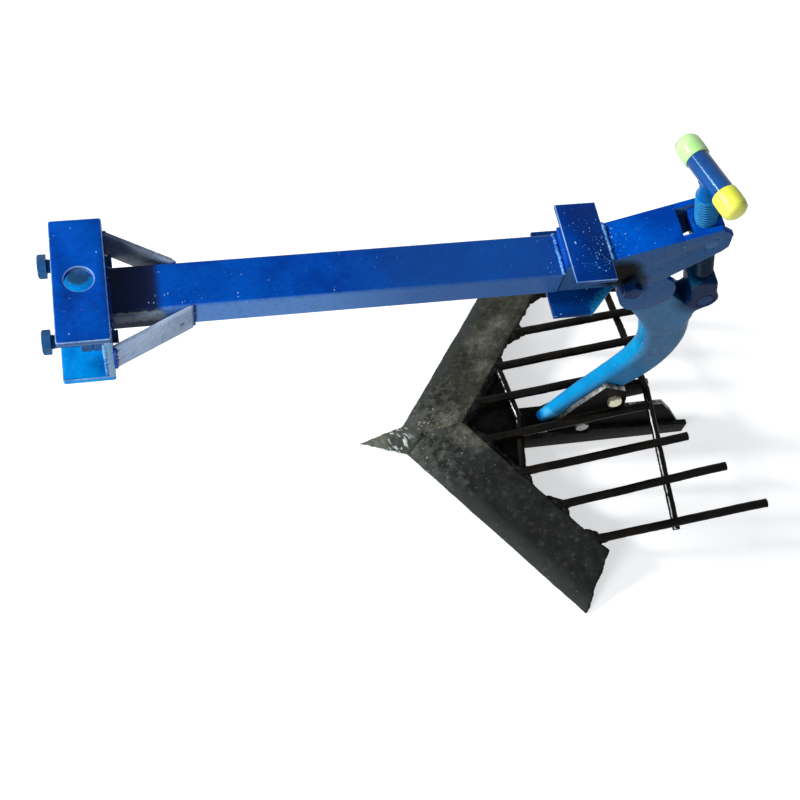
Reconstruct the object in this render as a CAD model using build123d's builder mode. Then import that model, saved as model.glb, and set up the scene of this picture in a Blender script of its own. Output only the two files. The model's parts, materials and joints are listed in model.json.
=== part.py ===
from build123d import *
import os
from math import atan2, cos, degrees, hypot, radians, sin, tan

os.makedirs("parts", exist_ok=True)

# Driving sizes in millimetres and degrees.
# X runs from the hitch to the rear, Y from left to right, Z up.
# The origin is on the hitch pin's axis at the height of the beam's axis.

# Hitch head
pin_bore = 32
hitch_depth = 58
hitch_width = 160
hitch_height = 88
hitch_plate = 8
hitch_corner = 3
adjuster_spacing = 100
adjuster_dia = 16
adjuster_across_flats = 24
adjuster_head = 10
adjuster_nut = 13
adjuster_reach = 36
adjuster_tail = 7

# Beam
tube_width = 60
tube_height = 40
tube_wall = 3
tube_corner = 5
beam_length = 524
beam_height = 452
brace_run_left = 87
brace_run_right = 71
brace_thick = 6
brace_spread = 73

# Fork at the beam's rear
fork_pitch = 20
fork_plate = 8
tongue_length = 50
cover_thick = 6
cover_end = 139
fork_slip = 0.5
fork_root_inset = 8
tongue_slip = 0.1
lobe_radius = 36
lobe_setback = 27
lobe_drop = 18
lobe_front = 13
arm_overhang = 25
arm_crown = 19
arm_brow = 3
arm_brow_rise = 16
arm_tip_drop = 9
arm_heel = 6
arm_heel_drop = 18
arm_root_run = 17
arm_root_rise = 20
upper_plate_gap = 4
upper_plate_length = 51
upper_plate_width = 112
upper_plate_thick = 5
upper_plate_corner = 1
wedge_inset = 3
lower_plate_lap = 10
lower_plate_length = 87
lower_plate_width = 124
lower_plate_thick = 6
lower_plate_chamfer = 38

# Pivot of the shank
pivot_setback = 100
pivot_drop = 28
pivot_dia = 14
pivot_across_flats = 22
pivot_head = 9
pivot_nut_thick = 11
bolt_tail = 4

# Depth screw
nut_setback = 176
nut_rise = 56
nut_block = 36
nut_height = 34
nut_corner = 3
trunnion_dia = 19
screw_dia = 28
screw_above_nut = 65
thread_gap = 2
screw_neck_dia = 18
journal_dia = 14
journal_top_dia = 15.4
thrust_seat = 9.5
collar_dia = 19
collar_thick = 10
collar_gap = 0.5
screw_end = 4
handle_reach = 104
handle_dia = 27
handle_wall = 3
handle_length = 109
handle_shift = 3
handle_turn = 14.8
cap_length = 30
cap_wall = 1.5
cap_end = 4
cap_round = 7

# Shank
eye_setback = 121
eye_drop = 58
eye_outer = 37
lug_front = 20
lug_back = 17
lug_rise = 42
lug_round = 3
web_front = 22
web_drop = 27
web_radius = 15
swivel_dia = 22
slot_swing = 6
slot_corner = 3
slot_under = 2
collar_room = 4
head_radius = 20
neck_radius = 35
neck_setback = 86
neck_drop = 101
horn_shoulder = 1
horn_part_upper = 0.22
horn_part_mid = 0.45
horn_part_lower = 0.69
horn_bow_upper = 11.5
horn_bow_mid = 13.2
horn_bow_lower = 4
horn_lead_foot = 19
horn_rise_foot = 16
horn_lead_toe = 25
horn_rise_toe = 32
horn_lead_tip = 58
horn_drop_tip = 10
horn_depth_top = 66
horn_depth_upper = 68.5
horn_depth_mid = 62
horn_depth_lower = 60.5
horn_depth_foot = 51.5
horn_depth_toe = 36
horn_depth_tip = 16
horn_thick_upper = 36
horn_thick_mid = 34
horn_thick_lower = 29.5
horn_thick_foot = 25.8
horn_thick_toe = 22.8
horn_thick_tip = 15
horn_roundness = 0.47

# Foot
foot_setback = 36
foot_rise = 50
foot_bolt_run = 32
foot_bolt_climb = 68
foot_thick = 28.8
foot_lug = 17
cheek_thick = 8
foot_bolt_dia = 12
foot_across_flats = 18
foot_head = 8
foot_nut = 10
runner_thick = 8
runner_height = 32
runner_hump = 8
hump_gap = 5
hump_step = 3
runner_tail_height = 27
runner_front_right = 8
runner_tail_left = 211
runner_tail_right = 122
keel_front = 6
keel_lift = 6
cheek_toe = 49
cheek_step = 44
cheek_step_rise = 6
cheek_front = 24
cheek_front_rise = 49
cheek_top = 22
cheek_top_rise = 40
cheek_crown = 12
cheek_crown_rise = 22
cheek_back = 20
cheek_back_drop = 2
cheek_waist = 24
cheek_tail_run = 23
cheek_tail_drop = 30
keel_tail_inset = 3
right_cheek_shift = 22
right_tail_run = 12
right_tail_end = 17
right_tail_drop = 34
right_keel_back = 62
right_keel_drop = 8
right_keel_end = 33

# Share
wing_half_width = 299
wing_sweep = 227
wing_thick = 8
ridge_length = 99.5
ridge_rise = 42
wing_rear_sweep = 268
wing_rear_half = 224
apex_setback = -241.5
apex_edge = 8
corner_edge = 3
nose_length = 53.5
nose_width = 50
nose_base = 21
nose_back = 42
nose_lift = 5
nose_tip_lift = 12
nose_base_lift = 8
gusset_thick = 6
gusset_length = 74
gusset_setback = 7

# Sifting rods
rod_dia = 11
rod_length = 250
rod_fraction_inner = 0.14
rod_fraction_step = 0.257
rod_fraction_left = 0.91
rod_fraction_right = 0.97
rod_taper = 0.04
rod_taper_left = 0
rod_taper_right = 0.1
rod_slope_ratio = 1.05
cross_dia = 11
rear_cross_setback = 130
rear_cross_half = 214
rear_cross_height = 98
rear_cross_slope = 0.19
front_cross_setback = 86
front_cross_sweep = 0.15
cross_gap = 1

# Fits
running_clearance = 0.08
thread_clearance = 0.6
bolt_hole_clearance = 0.4
side_clearance = 0.3

# Places worked out from the sizes above
floor_z = -beam_height
tube_start = hitch_depth / 2
xe = tube_start + beam_length
fork_half_in = tube_width / 2 - tube_wall - fork_plate
fork_half_out = tube_width / 2 - tube_wall
fork_top = tube_height / 2 - tube_wall - fork_slip
fork_slope = tan(radians(fork_pitch))
head_half = fork_half_in - side_clearance
pivot_x = xe + pivot_setback
pivot_z = -pivot_drop
nut_x = xe + nut_setback
eye_x = pivot_x + eye_setback
eye_z = pivot_z - eye_drop
neck_x = pivot_x + neck_setback
neck_z = pivot_z - neck_drop
foot_x = pivot_x + foot_setback
foot_z = floor_z + foot_rise
foot_x2 = foot_x + foot_bolt_run
foot_z2 = foot_z + foot_bolt_climb
foot_half = foot_thick / 2
cheek_out = foot_half + cheek_thick
runner_top = floor_z + runner_height
cross_x = pivot_x + rear_cross_setback
cross_z = floor_z + rear_cross_height
rod_rest = rod_slope_ratio * (rod_dia + cross_dia) / 2
cross_under = cross_dia / 2 * hypot(1, rear_cross_slope) + side_clearance
cheek_seat = cross_z - rear_cross_slope * cheek_out - cross_under

# Screw axis, from the shank's eye up through the nut
screw_span = hypot(nut_x - eye_x, nut_rise - eye_z)
screw_up = Vector((nut_x - eye_x) / screw_span, 0, (nut_rise - eye_z) / screw_span)
screw_side = Vector(screw_up.Z, 0, -screw_up.X)
eye_point = Vector(eye_x, 0, eye_z)
screw_plane = Plane(origin=eye_point, x_dir=(0, 1, 0), z_dir=screw_up)
shoulder = eye_outer / 2 + collar_gap
thread_start = (lug_rise + screw_dia / 2 * abs(screw_up.X)) / screw_up.Z + thread_gap
handle_point = eye_point + screw_up * (screw_span + handle_reach)
turn = radians(handle_turn)
handle_way = Vector(0, 1, 0) * cos(turn) - screw_side * sin(turn)
handle_middle = handle_point - handle_way * handle_shift

# Share corners; the wing's rear end lies in the plane of the other three
apex = Vector(pivot_x + apex_setback, 0, floor_z + apex_edge)
ridge = Vector(apex.X + ridge_length, 0, apex.Z + ridge_rise)
corner_x = apex.X + wing_sweep
corner_z = floor_z + corner_edge
rear_x = apex.X + wing_rear_sweep


def save(piece, name):
    piece.part.label = name
    export_step(piece.part, f"parts/{name}.step")


def hitch_cheek(name, bottom):
    with BuildPart() as plate:
        with BuildSketch(Plane.XY.offset(bottom)):
            RectangleRounded(hitch_depth, hitch_width, hitch_corner)
            Circle(pin_bore / 2, mode=Mode.SUBTRACT)
        extrude(amount=hitch_plate)
    save(plate, name)


hitch_cheek("hitch_top_plate", hitch_height / 2 - hitch_plate)
hitch_cheek("hitch_bottom_plate", -hitch_height / 2)

back_front = tube_start - hitch_plate
with BuildPart() as hitch_back_plate:
    with BuildSketch(Plane.YZ.offset(back_front)):
        Rectangle(hitch_width, hitch_height - 2 * hitch_plate)
        with Locations((-adjuster_spacing / 2, 0), (adjuster_spacing / 2, 0)):
            Circle(adjuster_dia / 2 + bolt_hole_clearance, mode=Mode.SUBTRACT)
    extrude(amount=hitch_plate)
save(hitch_back_plate, "hitch_back_plate")


def adjuster_hex(name, front, y):
    with BuildPart() as nut:
        with BuildSketch(Plane.YZ.offset(front)):
            with Locations((y, 0)):
                RegularPolygon(adjuster_across_flats / 2, 6, major_radius=False)
                Circle(adjuster_dia / 2 + running_clearance, mode=Mode.SUBTRACT)
        extrude(amount=adjuster_nut)
    save(nut, name)


def adjuster_bolt(name, y):
    with BuildPart() as bolt:
        with BuildSketch(Plane.YZ.offset(-adjuster_reach - adjuster_head)):
            with Locations((y, 0)):
                RegularPolygon(adjuster_across_flats / 2, 6, major_radius=False)
        extrude(amount=adjuster_head)
        with BuildSketch(Plane.YZ.offset(-adjuster_reach)):
            with Locations((y, 0)):
                Circle(adjuster_dia / 2)
        extrude(amount=adjuster_reach + tube_start + adjuster_tail)
    save(bolt, name)


for side, sign in (("left", -1), ("right", 1)):
    y = sign * adjuster_spacing / 2
    adjuster_hex(f"weld_nut_{side}", back_front - adjuster_nut, y)
    adjuster_hex(f"lock_nut_{side}", back_front - 2 * adjuster_nut, y)
    adjuster_bolt(f"adjusting_bolt_{side}", y)

with BuildPart() as beam_tube:
    with BuildSketch(Plane.YZ.offset(tube_start)):
        RectangleRounded(tube_width, tube_height, tube_corner)
        RectangleRounded(
            tube_width - 2 * tube_wall,
            tube_height - 2 * tube_wall,
            tube_corner - tube_wall,
            mode=Mode.SUBTRACT,
        )
    extrude(amount=beam_length)
save(beam_tube, "beam_tube")


def brace(name, sign, run):
    rise = brace_spread - tube_width / 2
    angle = atan2(rise, run)
    end_x = tube_start + run
    step_x = end_x + brace_thick * sin(angle)
    step_y = tube_width / 2 + brace_thick * cos(angle)
    outline = [
        (tube_start, sign * brace_spread),
        (end_x, sign * tube_width / 2),
        (end_x + 2 * brace_thick * sin(angle), sign * tube_width / 2),
        (step_x, sign * step_y),
        (tube_start, sign * (brace_spread + brace_thick / cos(angle))),
    ]
    with BuildPart() as bar:
        with BuildSketch(Plane.XY.offset(-tube_height / 2)):
            with BuildLine():
                Polyline(*outline, close=True)
            make_face()
        extrude(amount=tube_height)
    save(bar, name)


brace("brace_left", -1, brace_run_left)
brace("brace_right", 1, brace_run_right)

# Fork: two side plates with tongues inside the tube, a cover on top of them
tongue_half = tube_height / 2 - tube_corner - tongue_slip
under = -tube_height / 2
lobe_x = pivot_x + lobe_setback
lobe_z = pivot_z - lobe_drop
arm_tip = nut_x + arm_overhang
crown_x = arm_tip - arm_crown
cover_x = xe + cover_end


def fork_line(x):
    return fork_top + fork_slope * (x - xe)


def fork_side(name, right):
    low_x = xe + lower_plate_length - fork_root_inset
    outline = [
        (xe - tongue_length, tongue_half),
        (xe, tongue_half),
        (xe, fork_top - cover_thick),
        (cover_x, fork_line(cover_x) - cover_thick),
        (cover_x, fork_line(cover_x)),
        (crown_x, fork_line(crown_x)),
        (arm_tip - arm_brow, nut_rise + arm_brow_rise),
        (arm_tip, nut_rise - arm_tip_drop),
        (arm_tip - arm_heel, nut_rise - arm_heel_drop),
        (lobe_x + arm_root_run, pivot_z + arm_root_rise),
        (lobe_x, lobe_z),
        (pivot_x - lobe_front, lobe_z),
        (low_x, under),
        (xe, under),
        (xe, -tongue_half),
        (xe - tongue_length, -tongue_half),
    ]
    inner = -fork_half_out if right else fork_half_in
    with BuildPart() as plate:
        with BuildSketch(Plane.XZ.offset(inner)):
            with BuildLine():
                Polyline(*outline, close=True)
            make_face()
            with Locations((lobe_x, lobe_z)):
                Circle(lobe_radius)
            with Locations((pivot_x, pivot_z)):
                Circle(pivot_dia / 2 + running_clearance, mode=Mode.SUBTRACT)
            with Locations((nut_x, nut_rise)):
                Circle(trunnion_dia / 2 + running_clearance, mode=Mode.SUBTRACT)
        extrude(amount=fork_plate)
    save(plate, name)


fork_side("fork_plate_left", False)
fork_side("fork_plate_right", True)

with BuildPart() as fork_cover:
    with BuildSketch(Plane.XZ.offset(-fork_half_out)):
        with BuildLine():
            Polyline(
                (xe, fork_top),
                (cover_x, fork_line(cover_x)),
                (cover_x, fork_line(cover_x) - cover_thick),
                (xe, fork_top - cover_thick),
                close=True,
            )
        make_face()
    extrude(amount=2 * fork_half_out)
save(fork_cover, "fork_cover")

# Cross plates over and under the fork's root, the upper one on a wedge
upper_x = xe + upper_plate_gap
upper_end = upper_x + upper_plate_length
upper_z = fork_line(upper_end)
wedge_end = upper_end - wedge_inset
with BuildPart() as upper_wedge:
    with BuildSketch(Plane.XZ.offset(-fork_half_out)):
        with BuildLine():
            Polyline(
                (upper_x, fork_line(upper_x)),
                (wedge_end, fork_line(wedge_end)),
                (wedge_end, upper_z),
                (upper_x, upper_z),
                close=True,
            )
        make_face()
    extrude(amount=2 * fork_half_out)
save(upper_wedge, "upper_wedge")

with BuildPart() as upper_cross_plate:
    with BuildSketch(Plane.XY.offset(upper_z)):
        with Locations((upper_x + upper_plate_length / 2, 0)):
            RectangleRounded(upper_plate_length, upper_plate_width, upper_plate_corner)
    extrude(amount=upper_plate_thick)
save(upper_cross_plate, "upper_cross_plate")

lower_x = xe - lower_plate_lap
lower_end = lower_x + lower_plate_length
lower_half = lower_plate_width / 2
with BuildPart() as lower_cross_plate:
    with BuildSketch(Plane.XY.offset(under - lower_plate_thick)):
        with BuildLine():
            Polyline(
                (lower_x, -lower_half),
                (lower_end - lower_plate_chamfer, -lower_half),
                (lower_end, lower_plate_chamfer - lower_half),
                (lower_end, lower_half - lower_plate_chamfer),
                (lower_end - lower_plate_chamfer, lower_half),
                (lower_x, lower_half),
                close=True,
            )
        make_face()
    extrude(amount=lower_plate_thick)
save(lower_cross_plate, "lower_cross_plate")


# A bolt across the part with its hex head on the left, and its nut
def cross_bolt(name, x, z, dia, flats, head, half, tail):
    with BuildPart() as bolt:
        with BuildSketch(Plane.XZ.offset(half)):
            with Locations((x, z)):
                RegularPolygon(flats / 2, 6, major_radius=False)
        extrude(amount=head)
        with BuildSketch(Plane.XZ.offset(-half - tail)):
            with Locations((x, z)):
                Circle(dia / 2)
        extrude(amount=2 * half + tail)
    save(bolt, name)


def cross_nut(name, x, z, dia, flats, thick, half):
    with BuildPart() as nut:
        with BuildSketch(Plane.XZ.offset(-half - thick)):
            with Locations((x, z)):
                RegularPolygon(flats / 2, 6, major_radius=False)
                Circle(dia / 2 + running_clearance, mode=Mode.SUBTRACT)
        extrude(amount=thick)
    save(nut, name)


cross_bolt(
    "pivot_bolt", pivot_x, pivot_z, pivot_dia, pivot_across_flats,
    pivot_head, fork_half_out, pivot_nut_thick + bolt_tail,
)
cross_nut(
    "pivot_nut", pivot_x, pivot_z, pivot_dia, pivot_across_flats,
    pivot_nut_thick, fork_half_out,
)

# Depth screw: swivelling nut, screw with its journal, handle and caps
nut_plane = Plane(origin=(nut_x, 0, nut_rise), x_dir=(0, 1, 0), z_dir=screw_up)
with BuildPart() as screw_nut:
    with BuildSketch(nut_plane.offset(-nut_height / 2)):
        RectangleRounded(2 * fork_half_in - 2 * side_clearance, nut_block, nut_corner)
    extrude(amount=nut_height)
    with BuildSketch(Plane.XZ.offset(-fork_half_out)):
        with Locations((nut_x, nut_rise)):
            Circle(trunnion_dia / 2)
    extrude(amount=2 * fork_half_out)
    with BuildSketch(nut_plane.offset(-nut_height)):
        Circle(screw_dia / 2 + thread_clearance)
    extrude(amount=2 * nut_height, mode=Mode.SUBTRACT)
save(screw_nut, "screw_nut")

with BuildPart() as swivel_pin:
    with BuildSketch(Plane.XZ.offset(-head_half)):
        with Locations((eye_x, eye_z)):
            Circle(swivel_dia / 2 - running_clearance)
    extrude(amount=2 * head_half)
    with BuildSketch(screw_plane.offset(-swivel_dia)):
        Circle(journal_dia / 2 + running_clearance)
    extrude(amount=2 * swivel_dia, mode=Mode.SUBTRACT)
    with BuildSketch(screw_plane.offset(thrust_seat)):
        Circle(journal_top_dia / 2 + bolt_hole_clearance)
    extrude(amount=swivel_dia, mode=Mode.SUBTRACT)
save(swivel_pin, "swivel_pin")

thread_top = screw_span + screw_above_nut
with BuildPart() as screw:
    with BuildSketch(screw_plane.offset(-shoulder - collar_thick - screw_end)):
        Circle(journal_dia / 2)
    extrude(amount=shoulder + collar_thick + screw_end + thrust_seat)
    with BuildSketch(screw_plane.offset(thrust_seat)):
        Circle(journal_top_dia / 2)
    extrude(amount=thread_start - thrust_seat)
    with BuildSketch(screw_plane.offset(thread_start)):
        Circle(screw_dia / 2)
    extrude(amount=thread_top - thread_start)
    with BuildSketch(screw_plane.offset(thread_top)):
        Circle(screw_neck_dia / 2)
    extrude(amount=screw_span + handle_reach - thread_top)
save(screw, "screw")

with BuildPart() as screw_collar:
    with BuildSketch(screw_plane.offset(-shoulder - collar_thick)):
        Circle(collar_dia / 2)
        Circle(journal_dia / 2, mode=Mode.SUBTRACT)
    extrude(amount=collar_thick)
save(screw_collar, "screw_collar")

handle_plane = Plane(origin=handle_middle, x_dir=screw_up, z_dir=handle_way)
with BuildPart() as handle_bar:
    with BuildSketch(handle_plane.offset(-handle_length / 2)):
        Circle(handle_dia / 2)
        Circle(handle_dia / 2 - handle_wall, mode=Mode.SUBTRACT)
    extrude(amount=handle_length)
    with BuildSketch(Plane(origin=handle_point, x_dir=(0, 1, 0), z_dir=-screw_up)):
        Circle(screw_neck_dia / 2)
    extrude(amount=handle_dia, mode=Mode.SUBTRACT)
save(handle_bar, "handle_bar")


def handle_cap(name, sign):
    way = handle_way * sign
    end = handle_middle + way * (handle_length / 2)
    with BuildPart() as cap:
        with BuildSketch(Plane(origin=end + way * cap_end, x_dir=screw_up, z_dir=-way)):
            Circle(handle_dia / 2 + cap_wall)
        extrude(amount=cap_length)
        rims = cap.edges().filter_by(GeomType.CIRCLE)
        fillet(rims.sort_by_distance(end + way * cap_length)[0], radius=cap_round)
        with BuildSketch(Plane(origin=end, x_dir=screw_up, z_dir=-way)):
            Circle(handle_dia / 2)
        extrude(amount=cap_length, mode=Mode.SUBTRACT)
    save(cap, name)


handle_cap("handle_cap_left", -1)
handle_cap("handle_cap_right", 1)

# Shank: a head in the fork, an eye behind it and a curved horn down to the foot
drop = foot_z2 - neck_z
lug_top = eye_z + lug_rise
lug_lean = lug_rise * screw_up.X / screw_up.Z
horn = [
    (neck_x, neck_z, horn_depth_top, 2 * head_half - horn_shoulder),
    (neck_x + horn_bow_upper, neck_z + horn_part_upper * drop, horn_depth_upper, horn_thick_upper),
    (neck_x + horn_bow_mid, neck_z + horn_part_mid * drop, horn_depth_mid, horn_thick_mid),
    (neck_x - horn_bow_lower, neck_z + horn_part_lower * drop, horn_depth_lower, horn_thick_lower),
    (foot_x2 - horn_lead_foot, foot_z2 + horn_rise_foot, horn_depth_foot, horn_thick_foot),
    (foot_x - horn_lead_toe, foot_z + horn_rise_toe, horn_depth_toe, horn_thick_toe),
    (foot_x - horn_lead_tip, foot_z - horn_drop_tip, horn_depth_tip, horn_thick_tip),
]
with BuildPart() as shank:
    with BuildSketch(Plane.XZ.offset(-head_half)):
        with Locations((pivot_x, pivot_z)):
            Circle(head_radius)
        with Locations((neck_x, neck_z)):
            Circle(neck_radius)
        make_hull()
    extrude(amount=2 * head_half)
    with BuildSketch(Plane.XZ.offset(-head_half)):
        with Locations((eye_x, eye_z)):
            Circle(eye_outer / 2)
        with Locations((eye_x - web_front, eye_z - web_drop)):
            Circle(web_radius)
        make_hull()
        with BuildLine():
            Polyline(
                (eye_x - lug_front, eye_z),
                (eye_x + lug_back, eye_z),
                (eye_x + lug_back + lug_lean, lug_top),
                (eye_x - lug_front + lug_lean, lug_top),
                close=True,
            )
        make_face()
    extrude(amount=2 * head_half)
    fillet(shank.edges().filter_by_position(Axis.Z, lug_top - 0.01, lug_top + 0.01), radius=lug_round)
    for index, (x, z, depth, thick) in enumerate(horn):
        before = horn[max(index - 1, 0)]
        after = horn[min(index + 1, len(horn) - 1)]
        way = Vector(after[0] - before[0], 0, after[1] - before[1])
        with BuildSketch(Plane(origin=(x, 0, z), x_dir=(0, 1, 0), z_dir=way)):
            RectangleRounded(thick, depth, horn_roundness * min(thick, depth))
    loft()
    with BuildSketch(Plane.XZ.offset(-foot_half)):
        with Locations((foot_x, foot_z), (foot_x2, foot_z2)):
            Circle(foot_lug)
        make_hull()
    extrude(amount=foot_thick)
    with BuildSketch(Plane.XZ.offset(-tube_width)):
        with Locations((pivot_x, pivot_z)):
            Circle(pivot_dia / 2 + running_clearance)
        with Locations((eye_x, eye_z)):
            Circle(swivel_dia / 2)
        with Locations((foot_x, foot_z), (foot_x2, foot_z2)):
            Circle(foot_bolt_dia / 2 + running_clearance)
    extrude(amount=2 * tube_width, mode=Mode.SUBTRACT)
    with BuildSketch(screw_plane.offset(-eye_outer / 2 - slot_under)):
        RectangleRounded(journal_top_dia + 2 * side_clearance, journal_top_dia + slot_swing, slot_corner)
    extrude(amount=eye_outer / 2 + lug_rise + screw_dia, mode=Mode.SUBTRACT)
    with BuildSketch(screw_plane.offset(-eye_outer / 2)):
        Circle(collar_dia / 2 + collar_room)
    extrude(amount=-collar_gap - collar_thick - screw_end - collar_room, mode=Mode.SUBTRACT)
save(shank, "shank")

# Foot bolts through the shank and its cheeks
for place, x, z in (("lower", foot_x, foot_z), ("upper", foot_x2, foot_z2)):
    cross_bolt(
        f"foot_bolt_{place}", x, z, foot_bolt_dia, foot_across_flats,
        foot_head, cheek_out, foot_nut + bolt_tail,
    )
    cross_nut(f"foot_nut_{place}", x, z, foot_bolt_dia, foot_across_flats, foot_nut, cheek_out)


# Share: two wing plates meeting on the ridge, ground off level with the floor
def share_wing(sign):
    tip = Vector(corner_x, sign * wing_half_width, corner_z)
    across = ridge - apex
    along = tip - apex
    normal = across.cross(along) * sign
    normal = normal.normalized()
    flat = Plane(origin=apex, x_dir=along, z_dir=normal)
    lift = -(normal.X * wing_rear_sweep + normal.Y * sign * wing_rear_half) / normal.Z
    rear = Vector(rear_x, sign * wing_rear_half, apex.Z + lift)
    points = [flat.to_local_coords(p) for p in (apex, tip, rear, ridge)]
    with BuildPart() as wing:
        with BuildSketch(flat):
            with BuildLine():
                Polyline(*[(p.X, p.Y) for p in points], close=True)
            make_face()
        extrude(amount=-wing_thick)
        split(bisect_by=Plane.XZ, keep=Keep.BOTTOM if sign > 0 else Keep.TOP)
        split(bisect_by=Plane.XY.offset(floor_z), keep=Keep.TOP)
    return wing, rear, normal


wing_left, rear_left, normal_left = share_wing(-1)
wing_right, rear_right, normal_right = share_wing(1)
save(wing_left, "wing_left")
save(wing_right, "wing_right")

nose_point = Vector(apex.X - nose_length, 0, floor_z + nose_tip_lift)
nose_x = apex.X + nose_base
nose_under = Vector(nose_x - nose_point.X, 0, nose_base_lift - nose_tip_lift)
nose_plane = Plane(origin=nose_point, x_dir=nose_under, z_dir=(-nose_under.Z, 0, nose_under.X))
peak_x = apex.X + nose_back
peak_z = apex.Z + nose_back * ridge_rise / ridge_length + nose_lift
with BuildPart() as nose:
    with BuildSketch(nose_plane) as nose_foot:
        with BuildLine():
            Polyline(
                (0, 0),
                (nose_under.length, -nose_width / 2),
                (nose_under.length, nose_width / 2),
                close=True,
            )
        make_face()
    loft(sections=[nose_foot.sketch.face(), Vertex(peak_x, 0, peak_z)])
    add(wing_left.part, mode=Mode.SUBTRACT)
    add(wing_right.part, mode=Mode.SUBTRACT)
save(nose, "nose")


# Foot cheeks: long plates from the wings past the shank to the rear cross rod
keel_x = ridge.X - keel_front


def foot_cheek(name, right):
    back = right_cheek_shift if right else 0
    if right:
        tail = [
            (cross_x + right_tail_run, cheek_seat),
            (cross_x + right_tail_end, cheek_seat - right_tail_drop),
            (foot_x + right_keel_back, foot_z - right_keel_drop),
            (foot_x + right_keel_end, floor_z + keel_lift),
        ]
    else:
        tail = [
            (cross_x + cheek_tail_run, cheek_seat),
            (cross_x + 2 * cheek_tail_run, cheek_seat - cheek_tail_drop),
            (pivot_x + runner_tail_left - keel_tail_inset, floor_z + keel_lift),
        ]
    outline = [
        (keel_x, floor_z + keel_lift),
        (keel_x, runner_top),
        (foot_x - cheek_toe, runner_top),
        (foot_x - cheek_step + back, foot_z + cheek_step_rise),
        (foot_x - cheek_front + back, foot_z + cheek_front_rise),
        (foot_x2 - cheek_top + back / 2, foot_z2 + cheek_top_rise - back / 2),
        (foot_x2 + cheek_crown, foot_z2 + cheek_crown_rise),
        (foot_x2 + cheek_back, foot_z2 - cheek_back_drop),
        (foot_x2 + cheek_waist, cheek_seat),
        *tail,
    ]
    with BuildPart() as cheek:
        with BuildSketch(Plane.XZ.offset(-cheek_out if right else foot_half)):
            with BuildLine():
                Polyline(*outline, close=True)
            make_face()
            with Locations((foot_x, foot_z), (foot_x2, foot_z2)):
                Circle(foot_bolt_dia / 2 + running_clearance, mode=Mode.SUBTRACT)
        extrude(amount=cheek_thick)
        add(wing_right.part if right else wing_left.part, mode=Mode.SUBTRACT)
    save(cheek, name)


foot_cheek("foot_cheek_left", False)
foot_cheek("foot_cheek_right", True)


# Runner bars outside the cheeks; the left one reaches from the wing to the rear
def runner(name, right, front, tail):
    hump_x = foot_x + foot_across_flats / 2 + hump_gap
    outline = [
        (front, floor_z),
        (tail, floor_z),
        (tail, floor_z + runner_tail_height),
        (hump_x + hump_step, runner_top + runner_hump),
        (hump_x, runner_top),
        (front, runner_top),
    ]
    with BuildPart() as bar:
        with BuildSketch(Plane.XZ.offset(-cheek_out - runner_thick if right else cheek_out)):
            with BuildLine():
                Polyline(*outline, close=True)
            make_face()
        extrude(amount=runner_thick)
        add(wing_right.part if right else wing_left.part, mode=Mode.SUBTRACT)
    save(bar, name)


runner("runner_left", False, keel_x, pivot_x + runner_tail_left)
runner("runner_right", True, pivot_x + runner_front_right, pivot_x + runner_tail_right)

gusset_front = ridge.X + gusset_setback
gusset_half = gusset_length * wing_rear_half / (rear_x - ridge.X)
with BuildPart() as gusset_plate:
    with BuildSketch(Plane.XY.offset(runner_top)):
        with BuildLine():
            Polyline(
                (gusset_front, 0),
                (gusset_front + gusset_length, -gusset_half),
                (gusset_front + gusset_length, gusset_half),
                close=True,
            )
        make_face()
    extrude(amount=gusset_thick)
    add(wing_left.part, mode=Mode.SUBTRACT)
    add(wing_right.part, mode=Mode.SUBTRACT)
save(gusset_plate, "gusset_plate")


# Sifting rods from the wings' rear edges over the rear cross rod
def rod_line(rear, normal, number):
    part_way = rod_fraction_inner + number * rod_fraction_step
    inward = rod_taper * part_way
    if number == 3:
        part_way = rod_fraction_right if rear.Y > 0 else rod_fraction_left
        inward = rod_taper_right if rear.Y > 0 else rod_taper_left
    edge = ridge + (rear - ridge) * part_way - normal * (wing_thick / 2)
    over_y = edge.Y * (1 - inward)
    over = Vector(cross_x, over_y, cross_z + rod_rest - rear_cross_slope * abs(over_y))
    return edge, (over - edge).normalized()


def sifting_rod(name, start, way, wing):
    with BuildPart() as rod:
        with BuildSketch(Plane(origin=start, x_dir=(0, 1, 0), z_dir=way)):
            Circle(rod_dia / 2)
        extrude(amount=rod_length)
        add(wing.part, mode=Mode.SUBTRACT)
    save(rod, name)


for number in range(4):
    start, way = rod_line(rear_left, normal_left, number)
    sifting_rod(f"rod_left_{number + 1}", start, way, wing_left)
    start, way = rod_line(rear_right, normal_right, number)
    sifting_rod(f"rod_right_{number + 1}", start, way, wing_right)


def bent_rod(name, x, z, half, sweep, drop):
    with BuildPart() as rod:
        for sign in (-1, 1):
            way = Vector(-sweep, sign, -drop).normalized()
            with BuildSketch(Plane(origin=(x, 0, z), x_dir=(0, 0, 1), z_dir=way)):
                Circle(cross_dia / 2)
            extrude(amount=half)
        with Locations((x, 0, z)):
            Sphere(cross_dia / 2)
    save(rod, name)


bent_rod("rear_cross_rod", cross_x, cross_z, rear_cross_half, 0, rear_cross_slope)

# The front cross rod ties the inner rods from below and ends at the next ones
front_x = ridge.X + front_cross_setback
inner_start, inner_way = rod_line(rear_right, normal_right, 0)
second_start, second_way = rod_line(rear_right, normal_right, 1)
tie_x = front_x - front_cross_sweep * inner_start.Y
front_z = inner_start.Z + (tie_x - inner_start.X) * inner_way.Z / inner_way.X - rod_rest
front_half = hypot(1, front_cross_sweep) * (second_start.Y - rod_dia / 2 - cross_gap)
bent_rod("front_cross_rod", front_x, front_z, front_half, front_cross_sweep, 0)
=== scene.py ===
import json
import math
import random

import bpy
import numpy as np
from mathutils import Matrix, Vector, noise

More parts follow.
